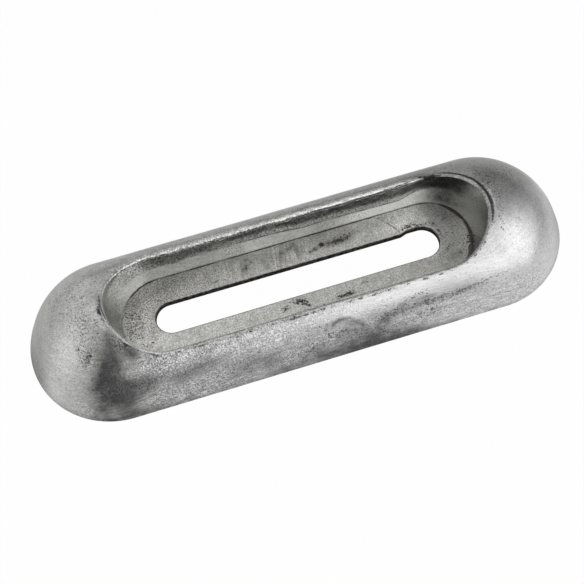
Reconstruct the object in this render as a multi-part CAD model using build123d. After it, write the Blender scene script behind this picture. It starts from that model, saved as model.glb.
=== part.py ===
from build123d import *
import math
import os

# A bolt-on hull anode: a loaf of cast aluminium poured round the edges of a
# slotted steel plate.  Two studs pass through the slot, and nuts on the plate,
# down in the pocket, hold the anode against the hull.
#
# Millimetres.  The origin is the middle of the flat back, +Z points away from
# the hull and +X runs along the anode.

# --- the casting's outside -------------------------------------------------
length = 210.0            # end to end, to the back edge before it is rounded
width = 65.0              # across, to the same edge
height = 28.0             # from the back to the crown line
flank_lean = 19.0         # degrees the flank leans in from upright at the back
back_edge_radius = 0.5    # the round where the flank meets the back

# --- the pocket in the crown, down to the plate ----------------------------
pocket_length = 138.0     # end to end, at the plate
pocket_width = 34.0       # across, at the plate
pocket_draft = 9.0        # degrees the pocket's wall leans out
pocket_shift_x = 0.5      # how far off centre the pocket's core sat
pocket_shift_y = 0.4
mouth_chamfer = 1.25      # the narrow flat all round the pocket's mouth

# --- the steel plate that floors the pocket --------------------------------
plate_thickness = 3.0
plate_stand_off = 2.0     # cast metal between the plate and the back
plate_hold = 6.0          # how far the casting grips the plate's edge
hole_spacing = 100.0      # between the holes punched at the slot's two ends
end_hole_diameter = 13.0  # passes an M12 stud
slot_width = 12.6         # between the two holes
stray_hole_y = 0.6        # how far off the slot's line the +X hole was punched

# --- the window in the back, round the slot --------------------------------
window_margin = 4.0       # how far the window stays outside the slot

# --- worked out ------------------------------------------------------------
end_radius = width / 2
spine_length = length - width
plate_top = plate_stand_off + plate_thickness
pocket_centre = Pos(pocket_shift_x, pocket_shift_y, 0)

# --- for the cutting tools and for picking edges ---------------------------
overrun = 5.0             # how far a cutting tool runs on past a face
near_enough = 0.01        # two heights this close are the same height


def loaf_section():
    """The casting's cross-section, in the YZ plane.

    Each flank is a straight line that leans in by flank_lean.  The crown is
    one arc, centred on the middle plane, that runs on from both flanks with
    no corner and peaks at the casting's height.
    """
    rise = math.sin(math.radians(flank_lean))
    reach = math.cos(math.radians(flank_lean))
    crown_radius = (end_radius * reach - height * rise) / (1 - rise)
    foot = (end_radius, 0)
    shoulder = (crown_radius * reach, height - crown_radius * (1 - rise))
    with BuildSketch(Plane.YZ) as section:
        with BuildLine():
            flank = Line(foot, shoulder)
            other_flank = mirror(flank, Plane.YZ)
            ThreePointArc(flank @ 1, (0, height), other_flank @ 1)
            Line(flank @ 0, other_flank @ 0)
        make_face()
    return section.sketch


def loaf():
    """The casting's outside: a straight run of the section between two turned ends."""
    section = loaf_section()
    straight = extrude(section, spine_length / 2, both=True)
    near_half = split(section, Plane.XZ, keep=Keep.TOP)
    far_half = split(section, Plane.XZ, keep=Keep.BOTTOM)
    right_end = Pos(spine_length / 2, 0, 0) * revolve(near_half, Axis.Z, 180)
    left_end = Pos(-spine_length / 2, 0, 0) * revolve(far_half, Axis.Z, 180)
    return straight + right_end + left_end


def pocket():
    """What the core leaves: a stadium that stands on the plate and widens by its draft."""
    floor = pocket_centre * SlotOverall(pocket_length, pocket_width)
    depth = height - plate_top + overrun
    return Pos(0, 0, plate_top) * extrude(floor, depth, taper=-pocket_draft)


def plate_blank():
    """The plate before its slot is cut: as wide as the pocket and the grip on each side."""
    outline = SlotOverall(pocket_length + 2 * plate_hold, pocket_width + 2 * plate_hold)
    return Pos(0, 0, plate_stand_off) * extrude(pocket_centre * outline, plate_thickness)


def slot():
    """Two punched holes and the strip between them, with one hole off the line."""
    outline = Rectangle(hole_spacing, slot_width)
    outline += Pos(-hole_spacing / 2, 0) * Circle(end_hole_diameter / 2)
    outline += Pos(hole_spacing / 2, stray_hole_y) * Circle(end_hole_diameter / 2)
    return extrude(pocket_centre * outline, plate_top + overrun)


def window():
    """The opening in the cast metal behind the plate, outside the slot all round."""
    long_side = hole_spacing + end_hole_diameter + 2 * window_margin
    short_side = end_hole_diameter + 2 * window_margin
    outline = pocket_centre * SlotOverall(long_side, short_side)
    return extrude(outline, plate_stand_off)


def lowest(shape):
    return shape.bounding_box().min.Z


def highest(shape):
    return shape.bounding_box().max.Z


def mouth_edges(body):
    """The edges where the pocket's walls come out through the crown."""
    walls = [
        face
        for face in body.faces()
        if abs(lowest(face) - plate_top) < near_enough and highest(face) > plate_top + near_enough
    ]
    rims = [edge for wall in walls for edge in wall.edges()]
    return [edge for edge in rims if lowest(edge) > plate_top + near_enough]


def back_edges(body):
    """The edges where the flanks meet the flat back."""
    return [edge for edge in body.edges() if highest(edge) < near_enough]


def make_casting():
    """The loaf, its pocket and eased edges, then the seat for the plate and the window."""
    body = loaf() - pocket()
    body = chamfer(mouth_edges(body), mouth_chamfer)
    body = fillet(back_edges(body), back_edge_radius)
    return body - plate_blank() - window()


def make_plate():
    return plate_blank() - slot()


os.makedirs("parts", exist_ok=True)
export_step(make_casting(), "parts/anode_casting.step")
export_step(make_plate(), "parts/slotted_plate.step")
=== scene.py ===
"""A bolt-on hull anode: a cast aluminium loaf with a slotted steel plate in its pocket.

Both pieces are closed surfaces worked out on grids.  A grid's columns run once
round a stadium and its rows run once round the section, so each is a ring with
no pole and no open seam.  The grids are in millimetres, with the origin in the
middle of the flat back, +X along the anode and +Z out of the hull.
surface_piece makes the mesh, in metres.

Each grid also carries paints: a value at each point that says how dirty,
sanded or stained the surface is there; some paints are painted highlights and
painted shade.  The finishes read them.
"""
import math

import bpy
import numpy as np
from mathutils import Matrix


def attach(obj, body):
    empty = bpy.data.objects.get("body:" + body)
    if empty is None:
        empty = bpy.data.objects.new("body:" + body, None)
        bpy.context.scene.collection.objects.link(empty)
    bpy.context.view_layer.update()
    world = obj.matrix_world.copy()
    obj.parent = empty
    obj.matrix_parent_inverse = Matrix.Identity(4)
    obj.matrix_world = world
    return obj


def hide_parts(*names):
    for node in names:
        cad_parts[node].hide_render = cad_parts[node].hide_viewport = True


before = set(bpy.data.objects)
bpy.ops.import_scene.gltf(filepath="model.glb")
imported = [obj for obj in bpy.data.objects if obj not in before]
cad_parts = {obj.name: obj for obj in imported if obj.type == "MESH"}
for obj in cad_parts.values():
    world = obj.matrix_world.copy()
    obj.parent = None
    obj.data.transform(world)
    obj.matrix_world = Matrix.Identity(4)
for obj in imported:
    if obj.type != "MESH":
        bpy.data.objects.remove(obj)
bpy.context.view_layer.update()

MM = 0.001

# --- the casting's sizes, as in the CAD ---
end_radius = 32.5
spine_half = 72.5
height = 28.0
flank_lean = math.radians(19.0)
back_edge_radius = 0.5
pocket_half = 52.0
pocket_radius = 17.0
pocket_draft = math.radians(9.0)
pocket_centre = (0.5, 0.4)
mouth_chamfer = 1.25

# --- the plate's sizes, near the CAD's: the slot's edges are smoother here ---
plate_bottom = 2.0
plate_top = 5.0
plate_hold = 6.0
slot_half = 50.0
slot_near_y = (-5.95, -5.65)  # the near edge, at the -X end and at the +X end
slot_far_y = 6.6
punch_step = 0.9  # how far the +X punch ran past the far edge
punch_step_x = (43.3, 46.8)
window_radius = 10.5

# --- the wear that only the surfaces have ---
worn_lean = 0.85  # how far the worn far lip leans into the pocket
lap_step = 0.24  # how far the metal above the lap stands out
sheared_edge = 0.35  # the roll along the slot's punched edge
burr = 0.15  # the small chamfer under it

# --- worked out ---
lean_sin, lean_cos = math.sin(flank_lean), math.cos(flank_lean)
crown_radius = (end_radius * lean_cos - height * lean_sin) / (1 - lean_sin)
crown_centre = height - crown_radius
shoulder = crown_radius * lean_cos
seat_radius = pocket_radius + plate_hold


# --- noise and soft masks ---
lattice_steps = (73856093, 19349663, 83492791)  # large primes keep the hash from repeating
seed_step = 6542989
scramble = 1274126177


def ripple(points, pitch, seed):
    """Smooth noise from -1 to 1.

    Each corner of a lattice with this pitch has a hashed value, and a point
    takes a blend of its cell's eight corners, eased by 3t^2 - 2t^3.  The pitch
    is one number, or three for a pattern that is longer one way.
    """
    scaled = points / np.asarray(pitch)
    cell = np.floor(scaled).astype(np.int64)
    part = scaled - cell
    part = part * part * (3 - 2 * part)
    total = np.zeros(points.shape[:-1])
    for corner in np.ndindex(2, 2, 2):
        code = seed * seed_step
        weight = 1.0
        for axis, beyond in enumerate(corner):
            code = code ^ ((cell[..., axis] + beyond) * lattice_steps[axis])
            weight = weight * (part[..., axis] if beyond else 1 - part[..., axis])
        code = (code ^ (code >> 13)) * scramble & 0xFFFFFFFF
        code = (code ^ (code >> 16)) & 0xFFFF
        total += weight * (code / 32767.5 - 1)
    return total


def cloud(points, pitch, seed, octaves=3):
    """Layered noise: each octave has half the pitch and half the strength of the last."""
    total = np.zeros(points.shape[:-1])
    for step in range(octaves):
        total += ripple(points, np.asarray(pitch) / 2**step, seed + step) / 2**step
    return total / (2 - 2 ** (1 - octaves))


def ease(value, none, full):
    """0 at none, 1 at full, which may be the lower of the two, and 3t^2 - 2t^3 between."""
    t = np.clip((value - none) / (full - none), 0, 1)
    return t * t * (3 - 2 * t)


def bell(value, centre, half):
    """1 at centre, falling off as exp(-(distance / half)^2)."""
    return np.exp(-(((value - centre) / half) ** 2))


def patch(points, centre, reach, turn=0.0):
    """A soft oval in plan, exp(-(u^2 + v^2)): u and v are the distances along
    and across it over its two reaches, and turn is its long side's, in degrees."""
    c, s = math.cos(math.radians(turn)), math.sin(math.radians(turn))
    x, y = points[..., 0] - centre[0], points[..., 1] - centre[1]
    return np.exp(-(((c * x + s * y) / reach[0]) ** 2) - ((c * y - s * x) / reach[1]) ** 2)


def stroke(points, start, end, half):
    """A soft line in plan from start to end: a bell of the distance to it."""
    ax, ay = start
    dx, dy = end[0] - ax, end[1] - ay
    x, y = points[..., 0] - ax, points[..., 1] - ay
    t = np.clip((x * dx + y * dy) / (dx * dx + dy * dy), 0, 1)
    return np.exp(-(((x - t * dx) ** 2 + (y - t * dy) ** 2) / half**2))


def patches(points, marks):
    """The sum of many soft ovals."""
    total = np.zeros(points.shape[:-1])
    for px, py, long_reach, short_reach, strength, *turn in marks:
        total += strength * patch(points, (px, py), (long_reach, short_reach), *turn)
    return total


def strokes(points, marks):
    """The strongest of many soft lines."""
    total = np.zeros(points.shape[:-1])
    for ax, ay, bx, by, half, strength in marks:
        total = np.maximum(total, strength * stroke(points, (ax, ay), (bx, by), half))
    return total


# --- grids ---
def stadium_columns(on_straight, on_end):
    """Each column's place along a stadium's spine, -1 to 1, and the direction it
    faces: the far side first, then the -X end, the near side and the +X end."""
    along = np.linspace(1, -1, on_straight, endpoint=False)
    turn = np.linspace(0, math.pi, on_end, endpoint=False)
    place = np.concatenate([along, -np.ones(on_end), -along, np.ones(on_end)])
    flat = np.full(on_straight, math.pi / 2)
    facing = np.concatenate([flat, math.pi / 2 + turn, -flat, turn - math.pi / 2])
    return place, facing


def ring(columns, half, radius, z, centre=(0.0, 0.0)):
    """One row: a stadium of this half-length and end radius at height z."""
    place, facing = columns
    x = centre[0] + place * half + radius * np.cos(facing)
    y = centre[1] + radius * np.sin(facing)
    return np.stack([x, y, np.broadcast_to(z, x.shape)], axis=-1)


def rows_between(start, end, shares):
    """Rows on straight lines from one row to another, at these shares of the way."""
    return start + (end - start) * np.asarray(shares)[:, None, None]


def joined(stretches):
    """The named stretches of rows as one grid, and the name of each row's stretch."""
    names = np.repeat(list(stretches), [len(rows) for rows in stretches.values()])
    return np.concatenate(list(stretches.values())), names


def distance_over(grid):
    """How far each point is round the section from its column's first row, in mm."""
    steps = np.linalg.norm(np.diff(grid, axis=0), axis=-1)
    return np.concatenate([np.zeros((1, grid.shape[1])), np.cumsum(steps, axis=0)])


def grid_normals(grid):
    """The outward direction at each grid point, from its neighbours across and along."""
    across = np.roll(grid, -1, axis=0) - np.roll(grid, 1, axis=0)
    along = np.roll(grid, -1, axis=1) - np.roll(grid, 1, axis=1)
    normal = np.cross(along, across)
    return normal / np.maximum(np.linalg.norm(normal, axis=-1, keepdims=True), 1e-9)


def surface_piece(name, grid, paints):
    """A closed grid as a mesh object in metres, with each paint as a point attribute.

    A paint with one number for each point is a plain value, and one with three
    is a place that a pattern follows.
    """
    rows, cols = grid.shape[:2]
    here = np.arange(rows * cols).reshape(rows, cols)
    right = np.roll(here, -1, axis=1)
    faces = [here, right, np.roll(right, -1, axis=0), np.roll(here, -1, axis=0)]
    faces = np.stack(faces, axis=-1).reshape(-1, 4)
    mesh = bpy.data.meshes.new(name)
    mesh.vertices.add(rows * cols)
    mesh.vertices.foreach_set("co", (grid * MM).astype(np.float32).ravel())
    mesh.loops.add(faces.size)
    mesh.loops.foreach_set("vertex_index", faces.ravel().astype(np.int32))
    mesh.polygons.add(len(faces))
    mesh.polygons.foreach_set("loop_start", np.arange(0, faces.size, 4, dtype=np.int32))
    mesh.update(calc_edges=True)
    mesh.shade_smooth()
    for key, value in paints.items():
        kind, field = ("FLOAT", "value") if value.ndim == 2 else ("FLOAT_VECTOR", "vector")
        attribute = mesh.attributes.new(key, kind, "POINT")
        attribute.data.foreach_set(field, value.astype(np.float32).ravel())
    piece = bpy.data.objects.new(name, mesh)
    bpy.context.scene.collection.objects.link(piece)
    return piece


# --- the casting's shape ---
def loaf_height(points):
    """Height of the loaf's outside: a straight flank, then an arc over the spine."""
    rho = np.hypot(np.maximum(np.abs(points[..., 0]) - spine_half, 0), points[..., 1])
    crown = crown_centre + np.sqrt(np.maximum(crown_radius**2 - rho**2, 0))
    flank = (end_radius - rho) / math.tan(flank_lean)
    return np.where(rho < shoulder, crown, flank)


def raised(plan):
    """Points in plan, put at the loaf's height."""
    return np.concatenate([plan, loaf_height(plan)[..., None]], axis=-1)


def wall_ring(columns, z):
    """The pocket's wall at height z: a stadium that widens by the draft."""
    radius = pocket_radius + math.tan(pocket_draft) * (z - plate_top)
    return ring(columns, pocket_half, radius, z, pocket_centre)


def mouth_corner(columns):
    """Where the wall meets the crown: z = loaf_height(wall at z), found by
    repeating that step."""
    z = np.full(len(columns[0]), height)
    for _ in range(14):
        corner = wall_ring(columns, z)
        z = loaf_height(corner)
    return corner


def mouth_rings(columns):
    """The lip's outer edge on the crown, its corner, and its inner edge on the wall.

    The lip reaches one chamfer along each face, a little unevenly.  On the far
    side it reaches twice that, because it is worn round and leans in.
    """
    corner = mouth_corner(columns)
    facing = np.stack([np.cos(columns[1]), np.sin(columns[1])], axis=-1)
    step = 0.1
    slope = (loaf_height(corner) - loaf_height(corner[:, :2] + facing * step)) / step
    uneven = 1 + 0.16 * ripple(corner, 7.0, 3) + 0.08 * ripple(corner, 2.5, 4)
    far = ease(corner[:, 1], 9, 17) * ease(corner[:, 0], 62, 50)
    left = ease(corner[:, 0], -55, -65)
    right = ease(corner[:, 0], 52, 62)
    reach = mouth_chamfer * uneven * (1 - 0.35 * left - 0.2 * right)
    inward = facing * (worn_lean * far)[:, None]
    corner = raised(corner[:, :2] - inward)
    outer = raised(corner[:, :2] + facing * (reach * (1 + far) / np.hypot(1, slope))[:, None])
    inner = wall_ring(columns, corner[:, 2] - reach * (1 + far) * math.cos(pocket_draft))
    inner[:, :2] -= inward
    return outer, corner, inner


def lip_rows(outer, corner, inner, shares):
    """The lip between its edges: (1-t)^2 outer + 2t(1-t) bend + t^2 inner.

    The bend is near the middle of the flat at the ends, so the lip is nearly
    flat there, and near the corner along the far side, where it is rounded.
    """
    fullness = 0.35 + 0.6 * ease(corner[:, 1], 8, 16) * ease(corner[:, 0], 62, 50)
    middle = (outer + inner) / 2
    bend = middle + (corner - middle) * fullness[:, None]
    t = np.asarray(shares)[:, None, None]
    return (1 - t) ** 2 * outer + 2 * t * (1 - t) * bend + t**2 * inner


def crown_rows(foot, mouth, shares):
    """Rows up the flank and over the crown, from the back edge to the mouth.

    Each column is a straight line in plan, and the shares are of its distance
    over the surface, walked in fine steps.
    """
    steps = 259
    start, way = foot[:, :2], mouth[:, :2] - foot[:, :2]
    walked = distance_over(raised(start + way * np.linspace(0, 1, steps + 1)[:, None, None]))
    walked /= walked[-1]
    below = (walked[None] < shares[:, None, None]).sum(axis=1).clip(1, steps)
    low = np.take_along_axis(walked, below - 1, axis=0)
    high = np.take_along_axis(walked, below, axis=0)
    part = np.clip((shares[:, None] - low) / (high - low), 0, 1)
    return raised(start + way * ((below - 1 + part) / steps)[..., None])


def seat_rings(columns):
    """The plate's outer edge, held under the wall: at its bottom and at its top."""
    return [ring(columns, pocket_half, seat_radius, z, pocket_centre) for z in (plate_bottom, plate_top)]


def back_edge_rows(columns, count):
    """The round between the flat back and the leaning flank: part of a circle."""
    centre = end_radius - back_edge_radius * (1 + lean_sin) / lean_cos
    rows = []
    for turn in np.linspace(-math.pi / 2, flank_lean, count):
        radius = centre + back_edge_radius * math.cos(turn)
        rows.append(ring(columns, spine_half, radius, back_edge_radius * (1 + math.sin(turn))))
    return np.stack(rows)


def casting_grid(columns):
    """The casting's rows in order round its section, and each row's stretch."""
    mouth_outer, corner, mouth_inner = mouth_rings(columns)
    edge = back_edge_rows(columns, 5)
    window_low = ring(columns, slot_half, window_radius, 0.0, pocket_centre)
    window_high = ring(columns, slot_half, window_radius, plate_bottom, pocket_centre)
    crown_shares = np.append(np.linspace(0, 0.985, 57), [0.995, 1.0])
    lip_shares = [0.07, 0.2, 0.35, 0.5, 0.65, 0.8, 0.93, 1.0]
    wall_shares = np.append([0.012], np.linspace(0.035, 1, 24))
    return joined(
        {
            "back": rows_between(window_low, edge[0], np.linspace(0, 1, 13)[:-1]),
            "edge": edge[:-1],
            "outside": crown_rows(edge[-1], mouth_outer, crown_shares),
            "mouth": lip_rows(mouth_outer, corner, mouth_inner, lip_shares),
            "wall": rows_between(mouth_inner, wall_ring(columns, plate_top), wall_shares),
            "seat": np.stack(seat_rings(columns)[::-1]),
            "window": window_high[None],
        }
    )


casting, stretch = casting_grid(stadium_columns(240, 180))
x, y, z = casting[..., 0], casting[..., 1], casting[..., 2]
back_edge, outside, mouth, wall = (
    (stretch == name)[:, None] for name in ("edge", "outside", "mouth", "wall")
)


# --- places on the casting, for its relief and its paints ---
end_walk = 27.0  # the radius at which the way round an end is measured


def distance_along():
    """How far each point is along the anode, measured round the ends.  Both
    sides count towards the tips, so nothing jumps where they meet."""
    turned = np.arctan2(np.abs(y), np.maximum(np.abs(x) - spine_half, 1e-6))
    round_end = np.sign(x) * (spine_half + end_walk * (math.pi / 2 - turned))
    return np.where(np.abs(x) < spine_half, x, round_end)


def lap_level():
    """The height of the cold lap that wanders along the pocket's far wall."""
    steps = -1.5 * ease(x, -8, 10) - 0.9 * ease(x, 25, 48) + 3.2 * ease(x, 46, 54)
    return 13.2 + steps + 0.35 * ripple(casting, (7, 60, 60), 21)


over = distance_over(casting)
from_lip = over[np.flatnonzero(stretch == "outside")[-1]] - over
bearing = np.degrees(np.arctan2(y - pocket_centre[1], x - np.clip(x, -pocket_half, pocket_half)))
left_turn = bearing % 360  # the same, but with no jump at the -X end
over_lap = z - lap_level()
lapped = ease(x, -35, -15) * ease(x, 54, 46)  # where the far wall shows its lap
far_wall = wall * ease(y, 8, 15)
left_lip = mouth * ease(x, -50, -60) * ease(y, 8, -2)
mottle = cloud(casting, 7, 31)


# --- the casting's marks ---
# Marks are in mm, in plan.  An oval is x, y, long reach, short reach, strength
# and its turn, if it has one.  A line is x, y, x, y, half breadth, strength.

# bumps and dents on the near flank, with their heights for strengths: the
# swirl and its hollow, then three dents
flank_bumps = [
    (11, -26.6, 6.5, 2.2, 0.55, -5),
    (12, -27.4, 3.6, 1.1, -0.77, -5),
    (21.3, -29.3, 1.8, 0.8, -0.3),
    (2.4, -26.2, 1.2, 0.5, -0.2, 60),
    (3.6, -27.6, 1, 0.5, -0.2, 60),
]

# small pits on the left dome: x, y, reach
left_pits = [(-80.8, -13.8, 0.9), (-82.1, -15.3, 0.8), (-84.2, -10, 0.7), (-76.1, -7.4, 0.6)]

# soft dark dirt marks, and painted shade: the long thin marks low along the near flank's foot, and the
# one at (76, 17) high on the +X dome
smudges_and_shade = [
    (-72.6, -10.5, 2.4, 3.4, 0.5),
    (-73.7, -15.5, 3.8, 3.6, 0.72),
    (-75.4, -20, 5.4, 3.6, 0.9),
    (-77.6, -24.3, 7.4, 3.2, 0.95, -15),
    (-79, -28.5, 7.5, 2.4, 0.5, -12),
    (-77, -31.4, 7, 1.2, 0.45),
    (-68, -31.7, 12, 0.9, 0.28),
    (-83, -27.5, 4, 4, 0.2),
    (-43, -25.8, 5, 2.2, 0.42, 3),
    (-27, -29.5, 8, 2.2, 0.28, 2),
    (-66.5, -16, 3, 1.8, 0.65, -40),
    (-64.5, -25.6, 6, 2.6, 0.52, 3),
    (-71, -26, 5.5, 4, 0.38, -10),
    (-74.5, -27.3, 6, 2.2, 0.35, -10),
    (-68.5, -20.5, 3, 2.6, 0.26),
    (-66.5, -17.5, 3.5, 2, 0.3, -30),
    (-72.8, 2.5, 1.6, 6, 0.5),
    (-97.5, 2, 5, 10, 0.2),
    (-51, -26.6, 7, 2, 0.56, 3),
    (-78.5, -17, 2.5, 7, 0.18),
    (40, -32.2, 14, 0.8, 0.4),
    (-36, -25.6, 6, 1.4, 0.25, 4),
    (7.5, -24.8, 5, 0.8, 0.5, 3),
    (15.5, -26.6, 2.8, 1, 0.55, -30),
    (26, -27.2, 4, 1.2, 0.4, 12),
    (37, -26.6, 9, 0.9, 0.4, 3),
    (56, -26.3, 9, 0.6, 0.35, 4),
    (20, -31, 6, 1.6, 0.85),
    (10, -30.6, 6, 1.2, 0.65),
    (14, -28.6, 7, 1, 0.4, -5),
    (2, -31.2, 5, 0.9, 0.55),
    (29, -30.8, 5, 1.2, 0.42, 8),
    (33, -31.7, 8, 0.9, 0.58, 4),
    (-12, -31.6, 12, 0.9, 0.4, 2),
    (58.8, 19, 2.2, 0.9, 0.55, -8),
    (54, 21.5, 6, 1.5, 0.25, -4),
    (76, 17, 5, 3.5, 0.14),
    (12, -32, 6, 0.8, 0.55),
    (26, -28.6, 4, 1.3, 0.36, 5),
    (12, -26.2, 1.8, 0.8, 0.55, -20),
    (10, -27.6, 2.4, 0.6, 0.3, -10),
    (-1.5, -29.8, 5.5, 1.3, 0.38, 3),
    (-17.5, -29, 6, 1.6, 0.26, 3),
    (-27, -28, 14, 3, 0.14, 3),
]

# painted highlights and painted shade on the outside: lighter and darker zones of reflected light
painted_light_zones = [
    (-98.5, -14.5, 7, 6, 1.2),
    (92, -27, 12, 5, 0.4),
    (104, -2, 3.5, 14, -0.5),
    (-102.5, -2, 4, 9, -0.35),
    (-82, 11, 9, 8, 1.1),
    (-82, -6, 6, 4, 0.45),
    (79, 5.5, 6, 4, 0.65),
    (96, 2, 4, 8, 0.5),
    (85, 13, 7, 4, -0.5, -20),
    (91, 6, 4, 4, -0.35),
    (52, -23.5, 12, 2.5, -0.55),
]

# painted highlights and shade on the far wall below the lap, where it reflects the plate: x, reach
# along, strength
wall_light_zones = [
    (36, 10, 1.1),
    (50, 5, 0.9),
    (-13, 5, 0.9),
    (15, 8, -0.8),
    (-32, 7, -0.5),
]

# zones of fine dark flecks
fleck_zones = [
    (-80.5, -3, 5, 9, 0.5),
    (-82.5, -14, 4, 3, 0.55),
    (-84, 12, 8, 7, 0.35),
    (-69.5, -13.5, 4.5, 2.2, 0.9, -45),
    (-58, -20.5, 12, 1.2, 0.5, -6),
    (-62, -26, 12, 2, 0.45, 4),
    (-20, -20.6, 30, 0.7, 0.4),
    (28, -26.9, 7, 1.4, 0.75, 4),
    (43, -26.7, 9, 0.9, 0.9, 2),
    (57, -26.3, 9, 0.8, 0.52, 4),
    (67, -25.6, 7, 0.8, 0.4, 7),
    (38, -24.3, 6, 0.8, 0.55, 3),
    (42, -29.3, 7, 1.2, 0.5),
    (8, -28.3, 12, 1.8, 0.5),
    (-8, -30, 12, 1.4, 0.5, 2),
    (24, -30.4, 12, 1.4, 0.5),
    (75.5, 6, 3, 10, 0.6, 10),
    (84, 10, 9, 8, 0.3),
    (20, 21.5, 60, 1.2, 0.45),
]

# soft dark streaks of dirt; those low along the near flank's foot are painted shade
smears_and_shade = [
    (5.4, -25.4, 8.5, -24.5, 0.6, 0.72),
    (8.5, -24.5, 12.2, -24.9, 0.6, 0.85),
    (12.2, -24.9, 16.4, -27.6, 0.7, 0.72),
    (16.4, -27.6, 21, -29.6, 0.8, 0.45),
    (6.5, -28.4, 13, -29.6, 0.9, 0.45),
    (-1, -30.8, 6, -29.6, 0.8, 0.5),
    (6, -29.6, 14, -28.8, 0.7, 0.45),
    (1, -31.4, 16, -31.4, 0.7, 0.55),
    (20, -29.8, 30, -30.9, 0.9, 0.5),
    (31, -25.4, 45, -25.4, 0.7, 0.4),
    (24, -27.4, 33, -26, 0.8, 0.4),
]

# small sharp dark marks
nicks = [
    (2, -25.4, 2.6, -26.6, 0.4, 0.55),
    (3.2, -27.2, 3.9, -28.2, 0.4, 0.55),
    (0.5, -24.9, 1.6, -25.2, 0.3, 0.5),
    (-4.5, -29.8, -2.6, -29.2, 0.4, 0.5),
    (38, -29, 39.2, -28.6, 0.4, 0.5),
    (43, -28.6, 44, -28.4, 0.4, 0.6),
    (75.4, -7.5, 76.6, -11, 0.3, 0.55),
    (76, -5, 77.5, -6, 0.35, 0.6),
    (74.9, -11.5, 75.7, -13, 0.4, 0.6),
    (25.5, -22.8, 26.6, -25, 0.35, 0.35),
    (86, -20, 87, -18.5, 0.35, 0.5),
    (54.8, 20.4, 57, 19.6, 0.5, 0.62),
    (56.8, 19.2, 60, 18.6, 0.8, 0.75),
    (60, 18.4, 62.5, 17.9, 0.5, 0.6),
    (40.5, 19.15, 45.5, 19.35, 0.18, 0.7),
    (44.5, 19.1, 51.5, 19.45, 0.18, 0.76),
    (48.5, 19.6, 53, 19.7, 0.15, 0.7),
    (-72.3, 6.5, -72.9, 2.5, 0.35, 0.6),
    (-72.9, 2.5, -72.2, -2.7, 0.35, 0.65),
    (-72.2, -2.7, -70.3, -9.4, 0.3, 0.48),
]


# --- the casting's relief ---
def flank_relief():
    """Bumps, dents and pits on the outside, clear of the lip."""
    pits = [(px, py, reach, reach, -0.25) for px, py, reach in left_pits]
    return outside * ease(from_lip, 0.5, 2.5) * patches(casting, flank_bumps + pits)


def lip_grooves():
    """Uneven grooves just outside the lip, round both ends of the pocket."""
    right = (x > 0) * ease(bearing, -25, -5) * ease(bearing, 75, 50)
    left = (x < 0) * ease(left_turn, 150, 165) * ease(left_turn, 245, 225)
    total = right * (0.16 + 0.12 * ripple(casting, 1.6, 16))
    total += left * (0.10 + 0.08 * ripple(casting, 1.6, 17))
    return outside * bell(from_lip, 0.7, 0.7) * total


def lip_beads():
    """Small beads along the far lip, a little stronger towards the -X end."""
    far_crest = (outside * bell(from_lip, 0, 2.5) + mouth) * ease(y, 8, 16) * ease(x, 72, 40)
    beads = 0.14 * ripple(casting, 2.0, 15) + 0.08 * ripple(casting, 1.1, 18)
    return far_crest * beads * (0.8 + 0.2 * ease(x, 25, -5))


def wall_relief():
    """The sandy skin above the lap on the far wall, and the step of the lap itself."""
    sanded = far_wall * ease(over_lap, -1.5, 1.0) * ease(x, 56, 48)
    skin = sanded * (0.09 * ripple(casting, 2.0, 19) + 0.04 * ripple(casting, 1.3, 20))
    lap = wall * ease(y, 10, 16) * (lap_step * ease(over_lap, -0.5, 0.4) - lap_step / 2)
    return skin, lap * ease(from_lip, -4.0, -7.0)


def casting_relief():
    """How far each point stands out, in mm: slow waves, ripples and the local
    relief, fading out at the plate."""
    total = 0.08 * ripple(casting, 24, 11) + 0.05 * ripple(casting, 9, 12)
    total += 0.02 * ripple(casting, 3.4, 13)
    total += ease(x, -50, -80) * 0.02 * ripple(casting, 4.5, 14)
    sandy_skin, lap = wall_relief()
    total += flank_relief() - lip_grooves() + lip_beads() + sandy_skin + lap
    above_plate = np.where(wall, ease(z - plate_top, 0, 3), 1)
    return total * (outside | mouth | wall) * above_plate


# --- the casting's paints ---
def smudge_and_shade_paint():
    """Soft dirt and painted shade: dirt marks and streaks, some of them painted shade
    low on the near flank; darkening high in the far corner; painted shade at the
    foot of the near flank and round the +X end of the wall; and a painted
    reflection of the dark slot on the far wall above the lap."""
    dirt = np.maximum(patches(casting, smudges_and_shade), strokes(casting, smears_and_shade))
    dirt *= (outside | mouth) * (1 + 0.25 * mottle)
    ragged = np.clip(0.75 + 0.6 * ripple(casting, (5, 5, 2.2), 35), 0, 1.2)
    # darker above the lap, most near the far +X corner
    dark_above_lap = 0.75 * bell(x, 57, 4) + 0.12 * bell(x, 38, 10)
    dark_above_lap = dark_above_lap * ragged * ease(over_lap, 0.3, 1.8) * ease(y, 10, 16)
    dirt = np.maximum(dirt, (wall | mouth) * dark_above_lap)
    # painted shade: the near flank darker towards its foot
    painted_shade_near_foot = outside * ease(z, 4.5, 1.0) * ease(y, -5, -20)
    # painted shade: the wall darker round the +X end, and high at its near +X corner
    painted_shade_right_wall = wall * (x > 0) * bell(bearing, 52, 24) * ease(z, 4, 9)
    painted_shade_right_top = wall * ease(z, 14, 22) * ease(x, 60, 68) * ease(y, -12, -4)
    dirt += 0.30 * painted_shade_near_foot * (1 + 0.5 * mottle) + 0.62 * painted_shade_right_wall + 0.28 * painted_shade_right_top
    # painted reflection: the far wall darker above the lap, where it reflects the dark slot
    painted_dark_reflection = ease(over_lap, 0.5 + 1.5 * lapped, 3.5 + lapped) * ease(y, 6, 15) * ease(x, -64, -48)
    clouded = 1 + 1.1 * cloud(casting, (5, 5, 3), 37) * ease(x, 56, 48)
    return dirt + wall * painted_dark_reflection * clouded * (0.45 + 0.16 * bell(x, 5, 28))


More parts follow.
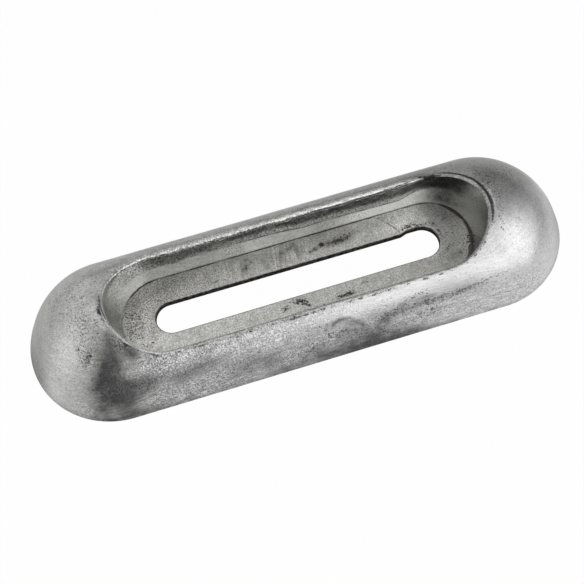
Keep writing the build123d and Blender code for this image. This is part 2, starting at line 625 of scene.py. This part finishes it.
def fleck_paint():
    """Where fine dark flecks lie: in their zones and above the lap."""
    zones = (outside | mouth) * patches(casting, fleck_zones) * (1 + 0.4 * mottle)
    return zones + 0.7 * far_wall * ease(over_lap, -2, 2) * ease(x, 52, 40)


def sand_paint():
    """Where the mould left the skin grainy: near flank, far crest, above the lap."""
    near = patch(casting, (-52, -23.5), (30, 5)) + 0.5 * patch(casting, (-10, -24), (30, 4))
    far_crest = (outside | mouth) * ease(y, 14, 18) * bell(from_lip, 0, 4) * ease(x, 30, -20)
    above_lap = far_wall * ease(over_lap, -1, 2) * ease(x, 50, 40)
    return outside * near + far_crest + 0.35 * mouth + above_lap


def scuff_and_shade_paint():
    """Sharp dark marks and painted shade: nicks, pits, painted shade in the grooves
    next to the lip, dark dashes along its near side, the lap line, and painted
    shade along the back edge and the foot.
    """
    low = np.where(x < 53, 13.0, 19.0)
    marks = (outside | mouth | (wall & (z > low))) * strokes(casting, nicks)
    pits = [patch(casting, (px, py), (reach, 0.7 * reach), 40) for px, py, reach in left_pits]
    beside_lip = outside * bell(from_lip, 0.5, 0.8)
    right = (x > 0) * ease(bearing, -35, -10) * ease(bearing, 80, 50)
    left = 0.25 * ease(left_turn, 105, 135) * ease(left_turn, 255, 225)
    left = (x < 0) * (left + bell(left_turn, 181, 11) + 0.9 * bell(left_turn, 223, 6))
    near_dashes = ease(y, -10, -17) * (0.31 + 0.35 * ripple(casting, (1.8, 9, 9), 33))
    lap_line = far_wall * bell(over_lap, 0.1, 0.42) * ease(x, -25, -5) * ease(x, 56, 50)
    lap_line *= np.clip(0.85 + 0.5 * ripple(casting, (6, 30, 30), 34), 0, 1)
    foot_line = ease(z, 0.9, 0.3) * ease(x, 0, -40) * ease(y, 5, -5)
    kinds = [
        marks,
        0.9 * outside * np.max(pits, axis=0),
        # painted shade in the grooves next to the lip, and dark dashes along its near side
        beside_lip * np.maximum(right, 0.6 * left),
        beside_lip * near_dashes,
        lap_line,
        # painted shade like a contact shadow: the back edge, and the foot of the near -X flank
        back_edge * np.full_like(x, 0.75),
        0.6 * outside * foot_line,
    ]
    return np.max(kinds, axis=0)


def polish_paint():
    """Where the metal is rubbed smooth: near flank, right dome, far crest, right wall."""
    flank = outside * np.maximum(ease(x, -30, 40) * ease(y, -12, -22), 0.8 * ease(x, 60, 75))
    crest = (mouth + outside * bell(from_lip, 0, 3)) * ease(y, 13, 18)
    crest = crest * ease(x, -60, -10) * ease(x, 60, 50)
    return np.maximum(np.maximum(flank, crest), wall * ease(x, 50, 60))


def painted_highlight_paint():
    """Painted highlights: the far wall below the lap, where it reflects the lit plate,
    and a band just above the lap; the left wall, lit by the key light; and its lip.
    """
    below = wall * ease(over_lap, 0.3, -0.6) * ease(y, 4, 12) * ease(x, 63, 56)
    below *= 0.70 + 0.30 * ease(x, -30, 40)
    above = far_wall * lapped * ease(over_lap, -0.3, 0.6) * ease(over_lap, 4.4, 2.2)
    left_wall = wall * ease(x, -50, -58) * (1 - 0.9 * bell(left_turn, 182, 33))
    left_wall *= 1 - 0.9 * ease(z, 21, 24) * ease(x, -62, -67)
    return np.max([below, 0.55 * above, left_wall], axis=0) + 0.7 * left_lip


def painted_light_paint():
    """Painted highlights and shade, above and below 0, on the outside and the far
    wall: zones, a darker line low on the near flank, and a darker far flank.
    """
    zones = patches(casting, painted_light_zones) - 0.40 * stroke(casting, (-35, -27), (62, -26.3), 3.0)
    zones = outside * (zones - 0.42 * ease(y, 15, 20) * ease(np.abs(x), 70, 50))
    below_lap = far_wall * ease(over_lap, 0.3, -0.6)
    return zones + below_lap * sum(strength * bell(x, px, reach) for px, reach, strength in wall_light_zones)


def casting_paints():
    """Every paint at each point, and the place that lengthwise patterns follow."""
    far_lip = mouth * ease(y, 12, 17) * ease(x, 57, 52)
    right_lip = mouth * ease(x, 53, 60)
    cool = ease(x, -72, -58) * ease(y, -6, -16) + ease(x, 58, 75) * ease(y, 14, -2)
    return {
        # painted highlights and painted shade in zones
        "painted_light": np.clip(painted_light_paint(), -1, 1.5),
        "lower": outside * ease(y, -22, -28) * ease(z, 16, 9),
        "cool": outside * np.clip(cool, 0, 1),
        "smudge_and_shade": np.clip(smudge_and_shade_paint(), 0, 1),
        "sand": np.clip(sand_paint(), 0, 1),
        "scuff_and_shade": np.clip(scuff_and_shade_paint(), 0, 1),
        "polish": np.clip(polish_paint(), 0, 1),
        "painted_highlight": np.clip(painted_highlight_paint(), 0, 1),
        "fleck": np.clip(fleck_paint(), 0, 1),
        # painted highlight on the far and left lips; below 0, painted shade on the +X lip ring
        "painted_sheen": 0.6 * far_lip + 0.5 * left_lip - 0.8 * right_lip,
        "calm": outside * ease(x, -66, -80),
        "grain_place": np.stack([distance_along(), over, y], axis=-1),
    }


skin = casting + grid_normals(casting) * casting_relief()[..., None]
skin[..., 2] = np.maximum(skin[..., 2], 0.0)
casting_piece = surface_piece("anode_casting_surface", skin, casting_paints())
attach(casting_piece, "root")
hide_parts("anode_casting")


# --- the plate's shape ---
def slot_ring(columns, z, grow=0.0):
    """The slot's edge: punched ends, a near edge slightly out of line, and a far
    edge that steps out where the +X punch overlapped it."""
    place, facing = columns
    x = pocket_centre[0] + place * slot_half
    share = (place + 1) / 2
    near = slot_near_y[0] + (slot_near_y[1] - slot_near_y[0]) * share
    far = slot_far_y + punch_step * ease(x, *punch_step_x)
    middle, half = (near + far) / 2, (far - near) / 2 + grow
    x = x + half * np.cos(facing)
    y = middle + half * np.sin(facing)
    return np.stack([x, y, np.broadcast_to(z, x.shape)], axis=-1)


def slot_roll(columns):
    """The punched edge rolls down a quarter turn, from the top to the slot's wall."""
    rows = []
    for turn in np.linspace(0, math.pi / 2, 5)[1:]:
        drop = sheared_edge * (1 - math.cos(turn))
        rows.append(slot_ring(columns, plate_top - drop, sheared_edge * (1 - math.sin(turn))))
    return np.stack(rows)


def plate_grid(columns):
    """The plate's rows in order round its section, and each row's stretch."""
    foot = wall_ring(columns, plate_top)
    bottom_outer, top_outer = seat_rings(columns)
    top_inner = slot_ring(columns, plate_top, sheared_edge)
    roll = slot_roll(columns)
    wall_low = slot_ring(columns, plate_bottom + burr)
    bottom_inner = slot_ring(columns, plate_bottom, burr)
    return joined(
        {
            "hidden": rows_between(bottom_outer, top_outer, [0.0, 1.0]),
            "under_wall": rows_between(top_outer, foot, [0.8]),
            "top": rows_between(foot, top_inner, np.linspace(0, 1, 26)),
            "roll": roll,
            "slot_wall": rows_between(roll[-1], wall_low, [0.2, 0.4, 0.6, 0.8, 1.0]),
            "bottom": rows_between(bottom_inner, bottom_outer, np.linspace(0, 0.9, 12)),
        }
    )


plate, plate_stretch = plate_grid(stadium_columns(280, 110))
top = (plate_stretch == "top")[:, None]
plate_x, plate_y = plate[..., 0] - pocket_centre[0], plate[..., 1] - pocket_centre[1]


# --- the plate's marks ---
# dark stains
plate_stains = [
    (13.2, 12, 0.9, 0.9, 1.2),
    (20, 11.6, 3.8, 1.8, 0.75),
    (25.5, 12.5, 2.5, 1, 0.5, 40),
    (9, 10.5, 2.5, 1, 0.6, 20),
    (15, 11.2, 4.5, 2, 0.3, 10),
    (-17, 12.5, 5, 2.5, 0.5, 60),
    (1, 14.6, 4, 1.6, 0.48, 30),
    (-4, 13.6, 2, 2.2, 0.32, 20),
    (-10, 11, 2, 3.5, 0.45, 10),
    (-30, 9.5, 3, 0.7, 0.45, 10),
    (-1.5, -8.2, 2.2, 1.2, 0.62, -30),
    (-7.5, -9.8, 1.6, 1.2, 0.55, 20),
    (0.5, -10.5, 1.8, 0.6, 0.6, -40),
    (15.6, -11.4, 4.5, 0.8, 0.62, 2),
    (8, -13.2, 6, 0.6, 0.5),
    (24, -8, 2.5, 0.6, 0.45, 20),
    (-63, 4, 5, 9, 0.22),
    (63, 0, 5, 10, 0.24),
    (60.5, 10, 4, 2.5, 0.3, -30),
    (61, -8, 3, 2, 0.36, 30),
    (48, 9.6, 5, 1, 0.4, 10),
    (57, -5.5, 4, 1, 0.3, 30),
    (57.5, 7, 3, 2, 0.25, -20),
]

# clusters of sharp pits
pit_clusters = [
    (13.2, 12, 0.8, 0.8, 2.2),
    (20, 11.6, 3.8, 1.7, 0.9, 10),
    (24.5, 12.6, 2.2, 0.7, 0.8, 40),
    (9, 10.8, 1.6, 0.7, 0.8, 20),
    (-1.5, -8.4, 3.4, 1.4, 1.1, -10),
    (-8, -9.6, 2.4, 1.1, 0.95, 20),
    (0.8, -10.3, 1.8, 0.5, 0.9, -40),
    (15.6, -11, 5, 1, 1.1, 3),
    (6, -12.6, 5, 0.5, 0.8),
    (25, -8.4, 1.8, 0.5, 0.8, 20),
    (-22, -10, 1, 0.6, 0.7),
    (46, 9, 4, 1, 0.8, 10),
    (67.5, -4.5, 1.8, 5, 0.9, -15),
    (51.5, 8.3, 4.5, 0.8, 1, -6),
    (57.9, 3.5, 0.8, 3.5, 0.9, 12),
    (62, 3, 5, 7, 0.22),
    (-64, 2, 6, 9, 0.55),
    (-60, -8, 3, 1.2, 0.5),
]

# hairline cracks and joins
plate_lines = [
    (37.6, 16.2, 39, 14.4, 0.35, 0.7),
    (39, 14.4, 40.4, 12.9, 0.35, 0.62),
    (40.4, 12.9, 42.8, 9.4, 0.35, 0.72),
    (31, 15.8, 37.6, 16.2, 0.25, 0.4),
]


# painted highlights and shade on the plate: lighter and darker zones
plate_painted_light_zones = [
    (46, 11.5, 12, 5, 1),
    (40, 12, 8, 4, 1.2),
    (-58, -1, 6.5, 8, 1),
    (-60, 11, 6, 3, -0.4),
]

# marks dragged across the far strip
drag_zones = [
    (-3.5, 12.5, 4.5, 6, 0.9),
    (4, 12, 2, 4, 0.8),
    (-20, 12, 5, 8, 0.4),
]


def joint_shade_lines():
    """Painted shade along the wall's foot: the joint between wall and plate darkened,
    broader at the +X end, and a thin dark line inside it along the near side."""
    to_wall = pocket_radius - np.hypot(np.maximum(np.abs(plate_x) - pocket_half, 0), plate_y)
    joint = bell(to_wall, 0.0, 0.5 + 0.7 * ease(plate_x, 58, 68))
    joint *= np.clip(0.68 + 0.35 * ripple(plate, 5.0, 52), 0, 1)
    joint *= 1 - 0.8 * ease(plate_x, -60, -67) * ease(plate_y, 11, 5)
    inner_line = 0.55 * bell(to_wall, 1.3, 0.3) * ease(plate_y, -8, -14)
    return np.maximum(joint, inner_line)


def speckle_paint():
    """Where the plate is speckled: both ends and the far strip, least on the near one."""
    left_end = 0.9 * ease(plate_x, -42, -56) * (0.35 + 0.65 * ease(plate_y, -9, -2))
    far_strip = ease(plate_y, 4, 8)
    left = left_end + 0.75 * far_strip * ease(plate_x, -5, -40)
    most = np.max([left, 0.6 * ease(plate_x, 50, 58), 0.30 * far_strip], axis=0)
    return most * (1 - 0.7 * ease(plate_y, -5, -9))


def plate_paints():
    """Every paint at each point.  All but the cut edge's are on the top alone."""
    # painted light and shade on the top: the near strip lighter towards -X and darker towards +X, zones,
    # and a darker +X end
    near_strip = 0.35 - 0.4 * ease(plate_x, -20, 10) - 0.3 * ease(plate_x, 25, 50)
    painted_light = near_strip * ease(plate_y, -4, -8) + patches(plate, plate_painted_light_zones)
    cut = np.isin(plate_stretch, ["slot_wall", "roll"])[:, None]
    return {
        "speckle": top * np.clip(speckle_paint(), 0, 1),
        "drag": top * np.clip(ease(plate_y, 5, 8) * patches(plate, drag_zones), 0, 1),
        "stain": top * np.clip(patches(plate, plate_stains), 0, 1),
        "pitted": top * patches(plate, pit_clusters),
        "hairline_and_shade": top * np.clip(np.maximum(strokes(plate, plate_lines), joint_shade_lines()), 0, 1),
        "cut": cut * np.ones_like(plate_x),
        "warm": top * patch(plate, (-57, -3), (8, 9)),
        "painted_light": top * (painted_light - 0.65 * ease(plate_x, 48, 58)),
    }


def plate_relief():
    """How far the plate's top stands off flat, in mm: slow waves."""
    return top * (0.03 * ripple(plate, 12, 41) + 0.012 * ripple(plate, 3, 42))


plate_skin = plate + np.array([0, 0, 1.0]) * plate_relief()[..., None]
plate_piece = surface_piece("slotted_plate_surface", plate_skin, plate_paints())
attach(plate_piece, "root")
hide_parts("slotted_plate")


# --- short calls for node trees ---
class Nodes:
    """A node tree, with short calls for the kinds of node used here.

    An input is given as a number, a colour or another node's output.
    """

    def __init__(self, tree):
        self.tree = tree
        tree.nodes.clear()

    def add(self, kind, inputs=None, **settings):
        node = self.tree.nodes.new(kind)
        for name, value in settings.items():
            setattr(node, name, value)
        for name, value in (inputs or {}).items():
            socket = node.inputs[name]
            if isinstance(value, bpy.types.NodeSocket):
                self.tree.links.new(value, socket)
            else:
                socket.default_value = value
        return node

    def math(self, operation, a, b=0.0):
        return self.add("ShaderNodeMath", {0: a, 1: b}, operation=operation).outputs[0]

    def chain(self, operation, total, *values):
        for value in values:
            total = self.math(operation, total, value)
        return total

    def sum(self, *values):
        return self.chain("ADD", *values)

    def times(self, *values):
        return self.chain("MULTIPLY", *values)

    def remap(self, value, low, high, to_low=0.0, to_high=1.0):
        """Ease value from low..high to to_low..to_high, held at both ends."""
        inputs = dict(enumerate([value, low, high, to_low, to_high]))
        return self.add("ShaderNodeMapRange", inputs, interpolation_type="SMOOTHSTEP").outputs[0]

    def vary(self, noise, low, high):
        """Ease noise to low..high, over the middle of its run, where most of it is."""
        return self.remap(noise, 0.3, 0.7, low, high)

    def tone(self, noise, low, high, amount):
        """A factor near 1 from noise: 1 + amount * (noise eased to low..high)."""
        return self.sum(self.times(self.vary(noise, low, high), amount), 1.0)

    def cover(self, paint, torn, low, high, faint, plain):
        """How far a paint covers: torn at its edge, eased from low to high, and held
        back where the paint alone is under plain."""
        shown = self.remap(self.sum(paint, torn), low, high)
        return self.times(shown, self.remap(paint, faint, plain))

    def map(self, vector, **inputs):
        return self.add("ShaderNodeMapping", {"Vector": vector, **inputs}).outputs[0]

    def place(self, stretch=(1.0, 1.0, 1.0), turn=0.0):
        """Object coordinates in mm, turned about Z by so many degrees, then
        divided by stretch on each axis."""
        source = self.add("ShaderNodeTexCoord").outputs["Object"]
        turned = self.map(source, Rotation=(0, 0, math.radians(turn)))
        return self.map(turned, Scale=[1.0 / (MM * s) for s in stretch])

    def followed(self, name, stretch):
        """A place kept on the mesh, in mm, divided by stretch on each axis."""
        source = self.add("ShaderNodeAttribute", attribute_name=name).outputs["Vector"]
        return self.map(source, Scale=[1.0 / s for s in stretch])

    def paints(self, *names):
        """The values of these paints."""
        return [self.add("ShaderNodeAttribute", attribute_name=name).outputs["Fac"] for name in names]

    def noise(self, vector, pitch, detail, roughness, distortion=0.0):
        """Noise from 0 to 1 whose lumps are about this many mm apart."""
        inputs = {"Vector": vector, "Scale": 1.0 / pitch, "Detail": detail}
        inputs |= {"Roughness": roughness, "Distortion": distortion}
        return self.add("ShaderNodeTexNoise", inputs).outputs[0]

    def mix(self, factor, a, b):
        """Colour a where factor is 0 and b where it is 1."""
        inputs = {"Factor": factor, 6: a, 7: b}
        return self.add("ShaderNodeMix", inputs, data_type="RGBA").outputs[2]

    def scaled(self, colour, value):
        """A colour made lighter or darker by a plain value."""
        inputs = {0: colour, "Scale": value}
        return self.add("ShaderNodeVectorMath", inputs, operation="SCALE").outputs["Vector"]

    def blend(self, factor, a, b):
        """Shader a where factor is 0 and b where it is 1 or more."""
        inputs = {0: self.math("MINIMUM", factor, 1.0), 1: a, 2: b}
        return self.add("ShaderNodeMixShader", inputs).outputs[0]

    def metal(self, colour, roughness, height_mm, metallic=1.0):
        """The Principled surface with its bumps, and the tree's output."""
        bump = self.add("ShaderNodeBump", {"Height": height_mm, "Distance": MM}).outputs[0]
        inputs = {"Base Color": colour, "Metallic": metallic}
        inputs |= {"Roughness": roughness, "Normal": bump}
        surface = self.add("ShaderNodeBsdfPrincipled", inputs).outputs[0]
        self.add("ShaderNodeOutputMaterial", {"Surface": surface})


def new_material(name):
    material = bpy.data.materials.new(name)
    material.use_nodes = True
    return material, Nodes(material.node_tree)


# --- finishes ---
alloy = (0.588, 0.590, 0.572, 1)
cool_alloy = (0.583, 0.582, 0.585, 1)
# dark colours of dirt and marks, also used for painted shade
smudge_and_shade_colour = (0.050, 0.050, 0.053, 1)
dark_mark_and_shade_colour = (0.045, 0.042, 0.038, 1)
steel = (0.541, 0.541, 0.520)
# dark colour of stains, also used for painted shade
stain_and_shade_colour = (0.050, 0.045, 0.040, 1)
rust_colour = (0.16, 0.10, 0.07, 1)


def cast_finish():
    """Cast aluminium, rubbed lengthwise: cloudy tone, fine grain, streaks, sand, dirt, painted light and
    shade.
    """
    material, n = new_material("cast_alloy")
    here = n.place()
    smudge_and_shade, fleck, scuff_and_shade, sand = n.paints("smudge_and_shade", "fleck", "scuff_and_shade", "sand")
    polish, painted_highlight, painted_sheen, calm = n.paints("polish", "painted_highlight", "painted_sheen", "calm")
    painted_light, cool, lower = n.paints("painted_light", "cool", "lower")

    # patterns: lumps of falling size, and streaks that run lengthwise
    clouds = n.noise(here, 11, 4, 0.55)
    blotch = n.noise(here, 3.0, 3, 0.6, 0.6)
    lumps = n.noise(here, 2.6, 2, 0.5)
    pores = n.noise(here, 1.1, 2, 0.5)
    sandy = n.noise(here, 0.75, 2, 0.6)
    flecks = n.noise(here, 0.62, 2, 0.6)
    grain = n.noise(here, 0.6, 3, 0.75)
    streaks = n.noise(n.followed("grain_place", (9, 0.5, 6)), 1, 3, 0.65)
    bands = n.noise(n.followed("grain_place", (38, 1.8, 15)), 1, 2, 0.5)
    brushed = n.noise(n.place((14, 0.42, 0.42), 6), 1, 2, 0.6)

    # how strongly each pattern shows
    # painted glint sparks: light grains in the sandy places
    painted_glints = n.times(n.remap(sandy, 0.53, 0.64), sand)
    smooth = n.math("MAXIMUM", n.times(polish, 0.75), n.times(n.math("MAXIMUM", calm, painted_highlight), 0.6))
    rough_skin = n.math("SUBTRACT", 1.0, smooth)
    grainy = n.sum(rough_skin, n.times(lower, 0.7), n.times(sand, 0.3))
    lengthwise = n.sum(n.times(calm, 0.7), lower, 0.3)

    tone = n.times(
        n.tone(clouds, -0.14, 0.12, rough_skin),
        n.tone(brushed, -0.20, 0.16, lengthwise),
        n.tone(blotch, -0.14, 0.12, rough_skin),
        n.tone(streaks, -0.16, 0.12, rough_skin),
        n.tone(bands, -0.12, 0.10, rough_skin),
        n.tone(grain, -0.42, 0.38, grainy),
        n.remap(pores, 0.30, 0.38, 0.72, 1.0),
        # painted highlights on lips and walls and painted glint sparks, then painted light and shade in
        # zones
        n.sum(n.times(painted_highlight, 0.55), n.times(painted_sheen, 0.40), n.times(painted_glints, 0.45), 1.0),
        n.sum(n.times(painted_light, 0.30), 1.0),
    )
    colour = n.scaled(n.mix(cool, alloy, cool_alloy), tone)

    # dirt, dark marks and painted shade over the metal, softest first
    torn = n.sum(n.vary(blotch, -0.16, 0.16), n.vary(grain, -0.24, 0.24))
    smudged_and_shaded = n.cover(smudge_and_shade, torn, -0.1, 1.2, 0.02, 0.35)
    flecked = n.remap(n.sum(flecks, n.times(fleck, 0.20)), 0.60, 0.72)
    flecked = n.times(flecked, n.remap(fleck, 0.02, 0.2))
    scuffed_and_shaded = n.cover(scuff_and_shade, torn, 0.32, 0.62, 0.05, 0.2)
    colour = n.mix(n.times(smudged_and_shaded, 0.93), colour, smudge_and_shade_colour)
    colour = n.mix(n.times(flecked, 0.70), colour, dark_mark_and_shade_colour)
    colour = n.mix(n.times(scuffed_and_shaded, 0.9), colour, dark_mark_and_shade_colour)

    roughness = n.sum(
        n.vary(clouds, 0.27, 0.34),
        n.vary(grain, -0.03, 0.05),
        n.times(polish, -0.10),
        n.times(sand, 0.06),
        n.times(painted_sheen, -0.12),
        n.times(smudged_and_shaded, 0.10),
        n.times(scuffed_and_shaded, 0.25),
    )
    height_mm = n.sum(
        n.times(streaks, n.sum(n.times(polish, 0.02), 0.02)),
        n.times(sandy, n.sum(n.times(sand, 0.22), 0.03)),
        n.times(lumps, n.sum(n.times(polish, -0.04), 0.06)),
        n.times(scuffed_and_shaded, -0.10),
    )
    # less metal where highlights and glint sparks are painted, so they read light
    metallic = n.math("SUBTRACT", 1.0, n.times(n.math("MAXIMUM", painted_highlight, painted_glints), 0.6))
    n.metal(colour, roughness, height_mm, metallic)
    return material


def plate_finish():
    """Mild steel plate: mottled grey, dark speckle, stains, hairlines, rust, and painted light and
    shade: in zones, in the joint and on the cut edges.
    """
    material, n = new_material("plate_steel")
    here = n.place()
    stain, hairline_and_shade, cut, painted_light = n.paints("stain", "hairline_and_shade", "cut", "painted_light")
    speckle, drag, pitted, warm = n.paints("speckle", "drag", "pitted", "warm")

    # patterns: lumps of falling size, and marks dragged across
    clouds = n.noise(here, 8, 4, 0.6)
    rusty = n.noise(here, 5, 3, 0.6)
    blotch = n.noise(here, 2.4, 3, 0.65)
    patchy = n.noise(here, 1.4, 3, 0.7)
    pits = n.noise(here, 0.8, 3, 0.6)
    grain = n.noise(here, 0.55, 3, 0.75)
    specks = n.noise(here, 0.5, 2, 0.6)
    dragged = n.noise(n.place((0.8, 8, 3), 8), 1, 2, 0.6)

    tone = n.times(
        n.vary(clouds, 0.84, 1.12),
        n.vary(blotch, 0.86, 1.10),
        n.vary(grain, 0.55, 1.42),
        n.tone(dragged, -0.62, 0.14, n.sum(n.times(drag, 0.85), 0.15)),
        n.sum(n.times(painted_light, 0.32), 1.0),
    )
    rusted = n.times(n.remap(rusty, 0.46, 0.66), n.sum(n.times(warm, 0.24), 0.09))
    colour = n.mix(rusted, n.scaled(steel, tone), rust_colour)

    # dark marks and painted shade over the steel
    torn = n.sum(n.vary(blotch, -0.25, 0.25), n.vary(grain, -0.35, 0.35))
    stained = n.cover(stain, torn, 0.30, 0.85, 0.02, 0.25)
    pitting = n.remap(n.sum(pits, n.times(pitted, 0.22)), 0.65, 0.71)
    pitting = n.times(pitting, n.remap(pitted, 0.05, 0.3))
    speckled = n.remap(n.sum(specks, n.times(speckle, 0.15)), 0.60, 0.74, 0, 0.7)
    lined_and_shaded = n.cover(hairline_and_shade, n.times(torn, 0.5), 0.35, 0.65, 0.05, 0.2)
    for mark, strength in [(stained, 0.9), (pitting, 0.95), (speckled, 1.0), (lined_and_shaded, 0.9)]:
        colour = n.mix(n.times(mark, strength), colour, stain_and_shade_colour)

    # painted shade on the cut edge, dark where it reflects the shade under the plate, mixed with rust in
    # places
    cut_shade_colour = n.mix(n.remap(blotch, 0.5, 0.7, 0, 0.7), stain_and_shade_colour, rust_colour)
    colour = n.mix(n.times(cut, n.remap(patchy, 0.38, 0.62, 0.94, 0.50)), colour, cut_shade_colour)

    roughness = n.sum(n.vary(clouds, 0.32, 0.42), n.times(stained, 0.15), n.times(cut, 0.3))
    height_mm = n.sum(
        n.times(grain, 0.05),
        n.times(blotch, 0.06),
        n.times(stained, -0.05),
        n.times(lined_and_shaded, -0.1),
    )
    n.metal(colour, roughness, height_mm)
    return material


casting_piece.data.materials.append(cast_finish())
plate_piece.data.materials.append(plate_finish())


# --- studio ---
# each soft light: azimuth, elevation, spread in degrees, strength
soft_lights = {
    "key": (46, 43, 30, 1.52),
    "key_low": (52, 2, 26, 1.10),
    "near_strip": (12, 20, 14, 1.30),
    "near_high": (8, 52, 16, 0.15),
    "left": (-80, 20, 34, 0.90),
    "far_left": (-128, 44, 32, 0.52),
    "far_low": (-172, 8, 24, 0.50),
    "right": (88, 18, 27, 0.44),
    "overhead": (168, 68, 15, 1.20),
}
room_level = 0.13
white_in_metal = 0.06  # how much of the white past the floor metal reflects

floor_half = 4000.0
floor_drop = 0.02  # how far the floor is under the anode's back
floor_white = 0.985  # how much of plain white the camera sees; the rest is paper
white = (1, 1, 1, 1)
floor_colour = (0.72, 0.72, 0.72, 1)
# the painted shadow's colour under the anode
painted_shadow_under_anode = (0.12, 0.12, 0.12, 1)
painted_shadow_oval = (92.0, 24.0, 1e6)  # half the painted shadow's oval under the anode, at any height

camera_turn = (-12.856, 65.686)  # azimuth and elevation
camera_roll = -4.675
camera_distance = 440.7
camera_slide = (2.462, 2.131)  # how far the anode's middle is from the view's, right and up
sensor_width = 36.0
lens = 70.64


def direction(azimuth, elevation):
    """A unit direction: azimuth 0 is the near side and 90 is +X, in degrees."""
    a, e = math.radians(azimuth), math.radians(elevation)
    return (math.sin(a) * math.cos(e), -math.cos(a) * math.cos(e), math.sin(e))


def shown(n, share, in_metal):
    """How much of plain white a ray sees: from the camera, or off metal."""
    path = n.add("ShaderNodeLightPath").outputs
    from_camera = n.sum(path["Is Camera Ray"], path["Is Transmission Ray"])
    return n.sum(n.times(from_camera, share), n.times(path["Is Glossy Ray"], in_metal))


def studio_world():
    """A dim grey room with soft lights, each a bell of the angle from its middle.

    exp(-(angle / spread)^2) is close to exp(-2 (1 - cos angle) / spread^2).
    The camera sees plain white past the floor, and metal sees a little of it.
    """
    world = bpy.data.worlds.new("studio")
    bpy.context.scene.world = world
    world.use_nodes = True
    n = Nodes(world.node_tree)
    looking = n.add("ShaderNodeTexCoord").outputs["Generated"]
    level = room_level
    for azimuth, elevation, spread, strength in soft_lights.values():
        inputs = {0: looking, 1: direction(azimuth, elevation)}
        dot = n.add("ShaderNodeVectorMath", inputs, operation="DOT_PRODUCT").outputs["Value"]
        away = n.times(n.math("SUBTRACT", dot, 1.0), 2 / math.radians(spread) ** 2)
        level = n.sum(level, n.times(n.math("EXPONENT", away), strength))
    room, surround = (
        n.add("ShaderNodeBackground", {"Color": white, "Strength": strength}).outputs[0]
        for strength in (level, 1.0)
    )
    both = n.blend(shown(n, 1.0, white_in_metal), room, surround)
    n.add("ShaderNodeOutputWorld", {"Surface": both})


def floor_finish():
    """Pale paper with a painted shadow under the anode.

    The camera sees it nearly plain white.  Metal sees painted light and shade on it:
    light next to the anode, with painted shade towards the key light and past the
    +X end, where the paper itself is darker too.
    """
    material, n = new_material("floor")
    from_middle = n.map(n.place(painted_shadow_oval), Location=(0, 0.1, 0))
    from_middle = n.add("ShaderNodeVectorMath", {0: from_middle}, operation="LENGTH").outputs["Value"]
    toward_key = n.add("ShaderNodeSeparateXYZ", {0: n.place(turn=-60)}).outputs["Y"]
    past_end = n.add("ShaderNodeSeparateXYZ", {0: n.place(turn=-65)}).outputs["X"]
    # painted floor light: none in the painted shadow under the anode, and fading past the +X end
    painted_floor_light = n.times(n.remap(from_middle, 0.9, 1.4), n.remap(past_end, 35, 85, 1.0, 0.38))
    # painted reflection: what metal sees of the floor, darker towards the key light
    in_metal = n.times(painted_floor_light, n.remap(toward_key, -110, 60, 0.80, 0.24))
    paper = n.add("ShaderNodeBsdfDiffuse", {"Color": n.mix(painted_floor_light, painted_shadow_under_anode, floor_colour)})
    glow = n.add("ShaderNodeEmission", {"Color": white, "Strength": 1.0})
    both = n.blend(shown(n, floor_white, in_metal), paper.outputs[0], glow.outputs[0])
    n.add("ShaderNodeOutputMaterial", {"Surface": both})
    return material


def studio_floor():
    """A wide flat floor just under the anode."""
    corners = [(-1, -1), (1, -1), (1, 1), (-1, 1)]
    corners = [(MM * floor_half * x, MM * floor_half * y, -MM * floor_drop) for x, y in corners]
    mesh = bpy.data.meshes.new("floor")
    mesh.from_pydata(corners, [], [(0, 1, 2, 3)])
    mesh.materials.append(floor_finish())
    floor = bpy.data.objects.new("floor", mesh)
    bpy.context.scene.collection.objects.link(floor)


def studio_camera():
    """The camera looks back along its turn, rolled, and slid in its own plane."""
    roll = math.radians(camera_roll)
    back = np.array(direction(*camera_turn))
    level = np.array([-back[1], back[0], 0.0]) / math.hypot(back[0], back[1])
    upright = np.cross(back, level)
    right = math.cos(roll) * level + math.sin(roll) * upright
    up = math.cos(roll) * upright - math.sin(roll) * level
    place = -camera_slide[0] * right - camera_slide[1] * up + camera_distance * back
    turn = np.eye(4)
    turn[:3] = np.column_stack([right, up, back, place * MM])
    data = bpy.data.cameras.new("camera")
    data.sensor_width = sensor_width
    data.lens = lens
    camera = bpy.data.objects.new("camera", data)
    camera.matrix_world = Matrix(turn.tolist())
    bpy.context.scene.collection.objects.link(camera)
    bpy.context.scene.camera = camera


studio_world()
studio_floor()
studio_camera()
bpy.context.scene.view_settings.view_transform = "Standard"
